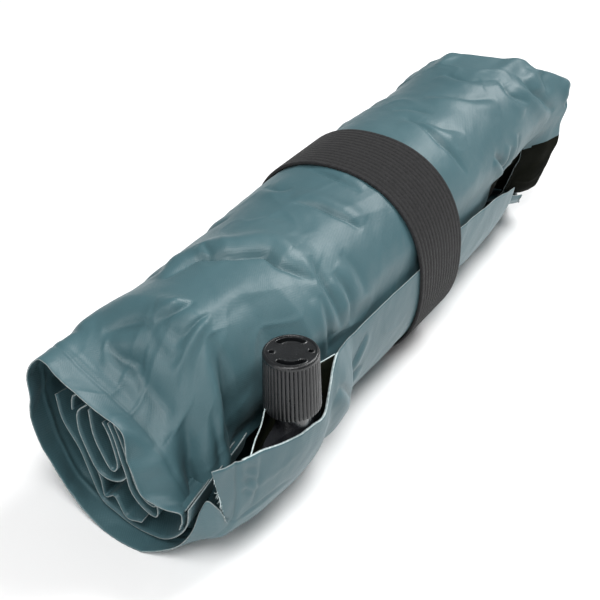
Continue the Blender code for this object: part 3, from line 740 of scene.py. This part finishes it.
END_FOLDS = {
    "end_fold_second_turn": ((-149, 43, 52), (-149, 41, 40), (-150, 33, 29.5), (-150, 29.5, 19),
        (-150, 25, 7), (-151, 17, 4.6), (-152, 8, 3.2), (-153, -1, 4.2), (-154, -10, 7), (-156, -19, 15.5),
        (-158, -25.5, 26), (-160, -28.5, 37)),
    "end_fold_loop": ((-156, 19, 62), (-155, 25.5, 55), (-155, 26, 45), (-154.5, 23.5, 35),
        (-154, 20.5, 27.5), (-154, 15, 25.5), (-155, 7, 30), (-154, 3, 36)),
    "end_fold_wedge": ((-157, 17.5, 61), (-156, 17.5, 47), (-155, 12.5, 33), (-156, 8, 38), (-156.5, 9, 49),
        (-157, 11.5, 58)),
    "end_fold_deep": ((-158, 7.5, 60), (-157.5, 5.5, 52), (-157, 3.2, 38), (-156.5, 1.2, 27.5),
        (-156.5, -3.5, 21.8), (-156.5, -9.2, 20.6), (-157, -10.5, 27.5), (-158, -7.5, 41.5),
        (-158.5, -2.5, 52)),
    "end_fold_deep_inner": ((-156.5, 6.3, 59.5), (-156, 4.2, 51.5), (-155.5, 1.8, 38), (-155, -0.2, 29),
        (-155, -4, 24.2), (-155, -8, 24), (-155.5, -8.6, 29.5)),
    "end_fold_pleat": ((-151, 26.5, 31), (-150.5, 23, 18), (-150, 22.8, 9.5), (-152, 15.5, 14.5),
        (-153, 9.5, 7.5), (-155, 0, 11.5)),
    "end_fold_small": ((-156, -12.5, 33), (-156, -16.5, 31.5), (-156.5, -22.5, 30), (-157, -25, 33)),
    "end_fold_tab": ((-153, 31, 53), (-154, 28.5, 60.5), (-156, 24.5, 65), (-156, 21, 67)),
}


END_FOLD_POINTS = 90
END_FOLD_DEPTH = 38.0
# The folds close up a little on this point as they run back
END_FOLD_CENTER = np.array([10.0, 40.0])
END_FOLD_PULL = 0.16


def end_fold(name, points, cloth, cut_edge):
    """A strip of cloth that follows a line across the valve end and runs back into the roll."""
    line = curve_points(points, END_FOLD_POINTS)
    steps = np.linspace(0.0, 1.0, 22)
    layers = []
    for step in steps:
        moved = line.copy()
        moved[:, 0] = line[:, 0] * (1 - step) + (line[:, 0].mean() + END_FOLD_DEPTH) * step
        moved[:, 1:] += (END_FOLD_CENTER - moved[:, 1:]) * END_FOLD_PULL * step
        layers.append(moved)
    grid = np.stack(layers, 1)
    seed = sum(ord(letter) for letter in name) % 17
    ripple = noise(np.arange(len(line))[:, None] / 9.0 + seed, steps[None] * 2.6 + seed, 7)
    grid = grid + grid_normals(grid) * (0.45 * ripple * (0.4 + steps[None]))[..., None]
    return sheet_object(name, grid, CLOTH_T, [cloth, cut_edge])


# Strap

STRAP_GAP = 0.3
LAP = (128.0, 158.0)
LAP_T, LAP_EASE = 1.3, 0.7
STRAP_RIBS, RIB_DEPTH = 15, 0.22
PICK_HEIGHT = 0.07
STRAP_EDGE_R = 0.7
# Steps round the band and across it, and how many of those across are selvedge
STRAP_STEPS, STRAP_ACROSS, SELVEDGE = 540, 151, 5


def strap_point(x, psi, outset):
    """A place on the band, where psi is a column and x a row."""
    y, z = oval(psi)
    ny, nz = oval_normal(psi)
    y, z = y + ny * outset, z + nz * outset
    floor = STRAP_GAP + STRAP_T - outset - ROLL_Z
    return np.stack(np.broadcast_arrays(x, y + ROLL_Y, np.maximum(z, floor) + ROLL_Z), -1)


def elastic_strap(web, selvedge):
    """A closed band of ribbed elastic with its sewn lap."""
    turns = STRAP_STEPS
    psi = np.linspace(0.0, 360.0, turns, endpoint=False)[:, None]
    across = np.linspace(0.0, 1.0, STRAP_ACROSS)
    rib_wave = np.sin(math.pi * STRAP_RIBS * across)
    rib = np.abs(rib_wave) ** 0.6
    edge = np.minimum(across, 1.0 - across) * (STRAP_X1 - STRAP_X0)
    rounded = np.sqrt(np.clip(1.0 - (1.0 - np.clip(edge / STRAP_EDGE_R, 0.0, 1.0)) ** 2, 0.0, 1.0))
    lap = LAP_T * smooth((psi - LAP[0]) / LAP_EASE) * smooth((LAP[1] - psi) / LAP_EASE)
    pick = PICK_HEIGHT * np.sin(psi * 4.0) * np.where(rib_wave > 0, 1.0, -1.0)
    top = STRAP_T * (0.5 + 0.5 * rounded) - RIB_DEPTH * (1.0 - rib)
    x = STRAP_X0 + across * (STRAP_X1 - STRAP_X0)
    outer = strap_point(x, psi, STRAP_GAP + top + lap + pick * rounded)
    inner = strap_point(x[::-1], psi, STRAP_GAP + 0.5 * STRAP_T * (1.0 - rounded[::-1]))
    grid = np.concatenate([outer, inner[:, 1:-1]], 1)
    count = grid.shape[1]
    index = np.arange(turns * count).reshape(turns, count)
    right, down = np.roll(index, -1, axis=1), np.roll(index, -1, axis=0)
    both = np.roll(right, -1, axis=0)
    faces = np.stack([index.ravel(), down.ravel(), both.ravel(), right.ravel()], 1)
    made = new_object("strap_elastic", grid.reshape(-1, 3), faces.tolist())
    made.data.materials.append(web)
    made.data.materials.append(selvedge)
    place = np.tile(np.arange(count), turns)
    past_edge = place - (STRAP_ACROSS - 1)
    far_edge = (past_edge > -SELVEDGE) & (past_edge <= SELVEDGE)
    near_edge = (place < SELVEDGE) | far_edge | (place > count - SELVEDGE)
    made.data.polygons.foreach_set("material_index", near_edge.astype(np.int32))
    return made


# Valve cap

CAP_RIBS = 42
CAP_TOP_R = CAP_R - 0.6
SLOT_DEG = (34.0, 214.0)
HOLE_DEG = (124.0, 304.0)
SLOT_R, SLOT_HALF, SLOT_SPAN = 7.2, 1.1, 36.0
HOLE_R = 0.95
SLOT_DEPTH, LIP_HEIGHT = 2.2, 0.16
RIB_STEPS, GROOVE_DEPTH = 14, 0.55


def cap_top_height(radius, angle):
    """Hollows of the cap's top: two arc slots with a raised lip, and two round holes."""
    reaches = []
    for middle in SLOT_DEG:
        past = np.radians(np.maximum(np.abs(wrap180(angle - middle)) - SLOT_SPAN, 0.0)) * SLOT_R
        reaches.append(np.hypot(radius - SLOT_R, past) - SLOT_HALF)
    for middle in HOLE_DEG:
        past = np.radians(wrap180(angle - middle)) * radius
        reaches.append(np.hypot(radius - SLOT_R, past) - HOLE_R)
    height = 0.0
    for reach in reaches:
        height = height - SLOT_DEPTH * smooth(-reach / 0.22) + LIP_HEIGHT * hump(reach - 0.3, 0.28)
    return height


def valve_cap(plastic):
    """The knurled cap as rings: from the roof of its bore, down, out, up its wall and in to the middle."""
    turns = CAP_RIBS * RIB_STEPS
    angle = np.arange(turns) * 360.0 / turns
    around = np.radians(angle)
    wave = np.abs(np.cos(around * CAP_RIBS / 2.0))
    groove = GROOVE_DEPTH * (1.0 - wave ** 0.55)
    rings = []

    def ring(radius, height, grooved=0.0):
        r = radius - groove * grooved
        places = (VALVE_X + r * np.cos(around), VALVE_Y + r * np.sin(around), height)
        rings.append(np.stack(np.broadcast_arrays(*places), 1))

    def wall(height):
        return CAP_R - 0.05 + (CAP_TOP_R - CAP_R) * (height - CAP_Z0) / (CAP_Z1 - CAP_Z0)

    center_low = CAP_Z1 - 4.6
    for radius, height in ((0.01, center_low), (4.0, center_low), (7.2, center_low), (7.4, center_low - 0.3),
                           (7.4, CAP_Z0 + 2.2), (9.1, CAP_Z0 + 1.8), (9.1, CAP_Z0 + 0.3), (9.4, CAP_Z0)):
        ring(radius, height)
    ring(CAP_R - 0.9, CAP_Z0, 0.3)
    ring(CAP_R - 0.25, CAP_Z0 + 0.15, 0.6)
    for height in np.linspace(CAP_Z0 + 0.5, CAP_Z1 - 2.6, 14):
        ring(wall(height), height, 1.0)
    ring(wall(CAP_Z1 - 2.0), CAP_Z1 - 2.1, 0.9)
    ring(wall(CAP_Z1 - 1.7), CAP_Z1 - 1.75, 0.45)
    ring(wall(CAP_Z1 - 1.4), CAP_Z1 - 1.45, 0.0)
    for turn in np.radians(np.linspace(0.0, 90.0, 7)):
        ring(CAP_TOP_R - 1.1 + 1.1 * math.cos(turn), CAP_Z1 - 1.1 + 1.1 * math.sin(turn))
    for radius in np.concatenate([[9.35, 9.2, 9.1], np.linspace(8.9, 5.6, 34), [5.0, 4.0, 2.6, 1.2, 0.01]]):
        drop = 0.35 if radius < 9.25 else 0.05
        ring(radius, CAP_Z1 - drop + cap_top_height(radius, angle))
    made = new_object("cap_knurled", np.concatenate(rings), loft_faces(len(rings), turns))
    made.data.set_sharp_from_angle(angle=math.radians(50.0))
    made.data.materials.append(plastic)
    return made


# Rear layer of the valve's corner, between the fin and the roll: each station is an x, its leans and
# its points (y, z) from the foot up to the edge

REAR_UPRIGHT = (0.0,) * 5
REAR_LEANS = (0.0,) * 4 + (-1.0,)
REAR_LAYER = (
    (-140.0, REAR_UPRIGHT, ((-38.5, 26), (-40.8, 32), (-42.2, 39), (-43, 47), (-43.5, 55.5))),
    (-133.0, REAR_UPRIGHT, ((-38, 22), (-37.2, 30), (-36.6, 38), (-38.3, 47), (-40.6, 56.5))),
    (-124.0, REAR_UPRIGHT, ((-38.5, 21), (-34.2, 29), (-32.4, 38), (-35, 48), (-37.8, 57.8))),
    (-114.0, REAR_LEANS, ((-37.5, 20), (-32.6, 29), (-31, 38), (-32, 48), (-34, 59))),
    (-104.0, REAR_LEANS, ((-37, 20), (-32.4, 29), (-31, 38), (-31.5, 48), (-33, 60))),
    (-95.0, REAR_LEANS, ((-37, 20), (-33.6, 29), (-32.6, 38), (-33.2, 49), (-34.6, 60.2))),
    (-87.0, REAR_LEANS, ((-36.5, 21), (-36.5, 30), (-36.8, 40), (-37.6, 50), (-38.8, 60.6))),
    (-79.0, REAR_LEANS, ((-35.5, 22), (-38, 31), (-39.6, 41), (-41, 51), (-41.6, 61))),
)


REAR_ALONG, REAR_UP = 130, 60


def rear_layer(cloth, cut_edge):
    rows = np.array([curve_points(station, REAR_UP) for station in station_rows(REAR_LAYER)])
    grid = hermite(np.linspace(0, len(rows) - 1, REAR_ALONG), np.arange(len(rows)), rows)
    grid[..., 1] += 0.35 * noise(np.arange(REAR_ALONG)[:, None] / 14.0, np.arange(REAR_UP)[None] / 14.0, 3)
    return sheet_object("corner_rear_cloth", grid, CLOTH_T, [cloth, cut_edge])


# Frayed threads along the tab's cut edge, from its tip down to its foot

FRAY_LINE = ((-158.6, -40.2, 59.0), (-157.0, -40.0, 52.0), (-155.0, -39.6, 45.0), (-152.6, -39.0, 36.0),
             (-151.2, -38.7, 29.5))
FRAY_SHARES = (0.10, 0.22, 0.36, 0.41, 0.44, 0.47, 0.50, 0.53, 0.58, 0.66, 0.78, 0.90)
FRAY_LENGTH = 3.2
FRAY_R = 0.13
FRAY_SIDES = 5


def frayed_threads(raw_edge):
    """Short curled threads that stand out from the cut edge of the tab."""
    line = curve_points(FRAY_LINE, 101)
    made = []
    for number, share in enumerate(FRAY_SHARES):
        root = line[int(share * 100)]
        bend = NOISE[5, number, :6]
        length = FRAY_LENGTH * (0.6 + 0.4 * abs(bend[0])) * (1.3 if 0.35 < share < 0.6 else 0.6)
        way = np.array([-0.7, -0.35 + 0.4 * bend[1], 0.3 * bend[2]])
        curl = np.array([0.4 * bend[3], 0.25 * bend[4], 0.6 * bend[5]])
        t = np.linspace(0.0, 1.0, 9)[:, None]
        path = root + length * (way * t + curl * t * t)
        radii = FRAY_R * (1.0 - 0.5 * t[:, 0])
        made.append(tube_object("tab_fray_" + str(number + 1), path, radii, FRAY_SIDES, raw_edge))
    return made


# Materials

TEAL = (0.046, 0.102, 0.118)
TEAL_DEEP = (0.036, 0.086, 0.101)
TEAL_PALE = (0.060, 0.122, 0.138)


class Nodes:
    """Small helper that writes a material's node tree."""

    def __init__(self, name):
        self.material = bpy.data.materials.new(name)
        self.material.use_nodes = True
        self.tree = self.material.node_tree
        self.tree.nodes.clear()
        self.output = self.tree.nodes.new("ShaderNodeOutputMaterial")
        self.shader = self.tree.nodes.new("ShaderNodeBsdfPrincipled")
        self.tree.links.new(self.shader.outputs[0], self.output.inputs["Surface"])
        self.place = self.tree.nodes.new("ShaderNodeTexCoord").outputs["Object"]

    def set(self, **values):
        for key, value in values.items():
            self.shader.inputs[key.replace("_", " ")].default_value = value

    def link(self, source, target):
        self.tree.links.new(source, target)

    def node(self, kind, links=(), **values):
        """A new node with values set and sources linked, by the names of its inputs."""
        made = self.tree.nodes.new("ShaderNode" + kind)
        for key, value in values.items():
            made.inputs[key.replace("_", " ")].default_value = value
        for source, target in links:
            self.link(source, made.inputs[target])
        return made

    def noise(self, scale, detail=3.0, rough=0.55):
        links = [(self.place, "Vector")]
        return self.node("TexNoise", links, Scale=scale, Detail=detail, Roughness=rough).outputs["Fac"]

    def wave(self, scale, vector, stretch, turn):
        """Soft parallel bands, stretched and turned about Z."""
        placed = self.node("Mapping", [(vector, "Vector")], Scale=stretch, Rotation=(0.0, 0.0, turn))
        return self.node("TexWave", [(placed.outputs["Vector"], "Vector")], Scale=scale).outputs["Fac"]

    def uv(self, name):
        node = self.node("UVMap")
        node.uv_map = name
        return node.outputs["UV"]

    def ramp(self, source, *stops):
        node = self.node("ValToRGB", [(source, "Fac")])
        while len(node.color_ramp.elements) < len(stops):
            node.color_ramp.elements.new(0.5)
        for element, (at, color) in zip(node.color_ramp.elements, stops):
            element.position = at
            element.color = (*color, 1.0)
        return node.outputs["Color"]

    def mix(self, share, first, second):
        """A blend of two colours."""
        node = self.node("Mix")
        node.data_type = "RGBA"
        node.inputs[0].default_value = share
        self.link(first, node.inputs[6])
        self.link(second, node.inputs[7])
        return node.outputs[2]

    def span(self, source, low, high):
        return self.node("MapRange", [(source, "Value")], To_Min=low, To_Max=high).outputs["Result"]

    def add(self, first, second):
        """The sum of two values, which a Math node gives without clamping."""
        return self.node("Math", [(first, 0), (second, 1)]).outputs[0]

    def bump(self, height, distance, strength, before=None):
        links = [(height, "Height")] + ([(before, "Normal")] if before else [])
        normal = self.node("Bump", links, Distance=distance, Strength=strength).outputs["Normal"]
        self.link(normal, self.shader.inputs["Normal"])
        return normal

    def base(self, color):
        self.link(color, self.shader.inputs["Base Color"])

    def rough(self, scale, low, high, detail=3.0):
        """Roughness that varies between two values."""
        self.link(self.span(self.noise(scale, detail), low, high), self.shader.inputs["Roughness"])


WEAVE_SCALE = 430.0


def coated_nylon(name, painted_shade_factor=1.0):
    """Satin coated nylon: fine diagonal weave, soft sheen, faint scuffs. Below 1, the second argument darkens
    every tone as painted shade.
    """
    n = Nodes(name)
    deep, middle, pale = [tuple(channel * painted_shade_factor for channel in tone) for tone in (TEAL_DEEP, TEAL, TEAL_PALE)]
    color = n.ramp(n.noise(14.0, 2.0), (0.30, deep), (0.52, middle), (0.78, pale))
    fine = n.noise(160.0, 4.0, 0.65)
    color = n.mix(0.10, color, n.ramp(fine, (0.35, deep), (0.65, pale)))
    cloth = n.uv("cloth")
    warp = n.wave(WEAVE_SCALE, cloth, (1.0, 1.0, 1.0), math.radians(45.0))
    weft = n.wave(WEAVE_SCALE, cloth, (1.0, 1.0, 1.0), math.radians(-45.0))
    weave = n.add(warp, weft)
    n.base(n.mix(0.05, color, n.ramp(weave, (0.2, deep), (0.8, pale))))
    n.rough(45.0, 0.40, 0.52)
    n.set(Specular_IOR_Level=0.42, Sheen_Weight=0.06, Sheen_Roughness=0.45)
    n.set(Sheen_Tint=(0.75, 0.88, 0.92, 1.0))
    soft = n.bump(n.noise(420.0, 3.0, 0.6), 0.0004, 0.25)
    n.bump(weave, 0.00004, 0.5, soft)
    return n.material


def inner_coating(name, light=1.0, rough=0.28, gloss=0.5):
    """Very dark olive, fairly glossy face of the cloth's inside; turned down by light and made matte, it
    serves as near-black painted shade.
    """
    n = Nodes(name)
    deep, pale = (0.012 * light, 0.015 * light, 0.010 * light), (0.034 * light, 0.037 * light, 0.022 * light)
    n.base(n.ramp(n.noise(60.0), (0.3, deep), (0.7, pale)))
    n.rough(90.0, rough, rough + 0.17)
    n.set(Specular_IOR_Level=gloss)
    n.bump(n.noise(300.0, 4.0), 0.0004, 0.4)
    return n.material


def cut_edge_cloth(name, light=1.0):
    """Pale raw threads where the cloth was cut."""
    n = Nodes(name)
    low, high = (0.30 * light, 0.40 * light, 0.41 * light), (0.66 * light, 0.74 * light, 0.74 * light)
    n.base(n.ramp(n.noise(900.0), (0.3, low), (0.7, high)))
    n.rough(500.0, 0.7, 0.95)
    n.bump(n.noise(2500.0, 2.0), 0.0003, 0.6)
    return n.material


def elastic_web(name, light=1.0):
    """Charcoal elastic: lengthwise ribs are in the mesh, the picks across them here."""
    n = Nodes(name)
    low, high = 0.004 * light, 0.014 * light
    picks = n.noise(1100.0, 2.0, 0.7)
    n.base(n.ramp(picks, (0.32, (low, low, low * 1.08)), (0.68, (high, high, high * 1.06))))
    n.rough(300.0, 0.72, 0.92)
    n.set(Sheen_Weight=0.06, Sheen_Roughness=0.5, Specular_IOR_Level=0.25)
    n.bump(n.noise(1500.0, 3.0, 0.7), 0.0005, 0.7)
    return n.material


def plastic(name, color, rough, grain, grain_scale, coat=0.0):
    """Moulded plastic with a faint grain and handled, slightly worn patches."""
    n = Nodes(name)
    deep = tuple(channel * 0.75 for channel in color)
    pale = tuple(channel * 1.35 + 0.002 for channel in color)
    n.base(n.ramp(n.noise(120.0, 4.0, 0.6), (0.35, deep), (0.7, pale)))
    n.rough(200.0, rough - 0.07, rough + 0.08)
    n.set(Coat_Weight=coat, Coat_Roughness=0.12)
    n.bump(n.noise(grain_scale), grain, 0.5)
    return n.material


def sewing_thread(name):
    """Dark twisted thread."""
    n = Nodes(name)
    twist = n.wave(900.0, n.place, (1.0, 0.4, 0.4), 0.6)
    n.base(n.ramp(twist, (0.3, (0.012, 0.012, 0.013)), (0.7, (0.05, 0.05, 0.052))))
    n.rough(700.0, 0.6, 0.85)
    n.bump(twist, 0.0002, 0.6)
    return n.material


def floor_paper(name):
    """Plain pale backdrop paper."""
    n = Nodes(name)
    n.base(n.ramp(n.noise(3.0), (0.3, (0.86, 0.86, 0.86)), (0.7, (0.90, 0.90, 0.90))))
    n.set(Roughness=0.85)
    n.bump(n.noise(900.0), 0.0002, 0.1)
    return n.material


def put(made, body, slot, *replaced):
    """Puts a piece on its body, in place of CAD nodes; slot is not used."""
    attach(made, body)
    if replaced:
        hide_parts(*replaced)


def dress(material, *nodes):
    """A better material on the CAD nodes that stay."""
    for node in nodes:
        thing = frame["nodes"][node]
        thing.data.materials.clear()
        thing.data.materials.append(material)


# Stage

CAMERA_AT = (-0.3967, -0.2368, 0.3445)
CAMERA_YAW, CAMERA_DOWN, CAMERA_ROLL = 33.72, 34.70, -1.03
CAMERA_LENS, SENSOR_WIDTH = 72.0, 36.0


def add_camera():
    yaw, down, roll = (math.radians(v) for v in (CAMERA_YAW, CAMERA_DOWN, CAMERA_ROLL))
    forward = Vector((math.cos(down) * math.cos(yaw), math.cos(down) * math.sin(yaw), -math.sin(down)))
    level = Vector((math.sin(yaw), -math.cos(yaw), 0.0))
    upright = level.cross(forward)
    right = level * math.cos(roll) + upright * math.sin(roll)
    up = upright * math.cos(roll) - level * math.sin(roll)
    data = bpy.data.cameras.new("camera")
    data.lens = CAMERA_LENS
    data.sensor_width = SENSOR_WIDTH
    camera = bpy.data.objects.new("camera", data)
    turn = Matrix((right, up, -forward)).transposed().to_4x4()
    camera.matrix_world = Matrix.Translation(CAMERA_AT) @ turn
    bpy.context.scene.collection.objects.link(camera)
    bpy.context.scene.camera = camera


def area_light(name, place, aim, size, power):
    """A square soft light of a size in metres and a power in watts."""
    data = bpy.data.lights.new(name, "AREA")
    data.shape = "SQUARE"
    data.size = size
    data.energy = power
    light = bpy.data.objects.new(name, data)
    way = Vector(aim) - Vector(place)
    light.matrix_world = Matrix.Translation(place) @ way.to_track_quat("-Z", "Y").to_matrix().to_4x4()
    bpy.context.scene.collection.objects.link(light)


WORLD_LIGHT = 0.22


def add_lights():
    area_light("key_softbox", (-0.60, -0.35, 1.30), (0.0, 0.0, 0.0), 0.7, 16.0)
    area_light("front_softbox", (-1.30, 0.05, 0.60), (-0.1, 0.0, 0.05), 0.5, 6.0)
    area_light("sheen_softbox", (0.85, -0.38, 1.15), (0.0, 0.0, 0.05), 0.6, 21.0)
    world = bpy.data.worlds.new("studio")
    world.use_nodes = True
    background = world.node_tree.nodes["Background"].inputs
    background["Color"].default_value = (1.0, 1.0, 1.0, 1.0)
    background["Strength"].default_value = WORLD_LIGHT
    bpy.context.scene.world = world
    bpy.context.scene.view_settings.view_transform = "Standard"


FLOOR_HALF, FLOOR_Z = 2500.0, -0.1


def add_floor():
    corners = [(x * FLOOR_HALF, y * FLOOR_HALF, FLOOR_Z) for x, y in ((-1, -1), (1, -1), (1, 1), (-1, 1))]
    floor = new_object("floor", corners, [(0, 1, 2, 3)])
    floor.data.materials.append(floor_paper("floor_paper"))


# Assembly

def main():
    add_camera()
    add_lights()
    add_floor()
    nylon = coated_nylon("coated_nylon")
    # A darker copy of the same nylon for the inner turns and the end folds: painted shade of the roll's
    # inside.
    shaded_inner_nylon = coated_nylon("shaded_inner_nylon", 0.92)
    edge = cut_edge_cloth("cut_edge")
    soft_edge = cut_edge_cloth("heat_cut_edge", 0.42)
    near_black_face = inner_coating("inner_coating")
    web, selvedge = elastic_web("elastic_web"), elastic_web("elastic_selvedge", 1.5)
    cap_plastic = plastic("cap_plastic", (0.006, 0.007, 0.008), 0.30, 0.0003, 1500.0)
    stem_plastic = plastic("stem_plastic", (0.020, 0.021, 0.024), 0.22, 0.0002, 900.0, 0.5)
    rubber = plastic("seal_rubber", (0.02, 0.02, 0.02), 0.6, 0.0002, 700.0)
    thread = sewing_thread("strap_thread")
    # Near-black painted shade for the gap under the flap's far end: the dark olive face turned far down and
    # matte.
    painted_shade_coating = inner_coating("painted_shade_coating", 0.2, 0.75, 0.05)

    outer = outer_turn(nylon, soft_edge, painted_shade_coating, edge)
    put(outer, "pad", "coated_fabric", "lower_skin", "corner_front_layer")

    inner = inner_turns(shaded_inner_nylon)
    put(inner, "pad", "coated_fabric", "upper_skin", "foam_core")

    for name, points in END_FOLDS.items():
        fold = end_fold(name, points, shaded_inner_nylon, soft_edge)
        put(fold, "pad", "coated_fabric")
        steps = np.diff(curve_points(points, END_FOLD_POINTS), axis=0)

    rear = rear_layer(near_black_face, edge)
    put(rear, "pad", "inner_coating", "corner_rear_layer")

    for fray in frayed_threads(edge):
        put(fray, "pad", "coated_fabric")

    strap = elastic_strap(web, selvedge)
    put(strap, "strap_body", "elastic_web", "elastic_strap")

    put(valve_cap(cap_plastic), "cap_body", "cap_plastic", "valve_cap")

    dress(stem_plastic, "valve_stem", "valve_plug")
    dress(rubber, "plug_o_ring", "cap_ring")
    dress(thread, "strap_tack_1", "strap_tack_2")


main()
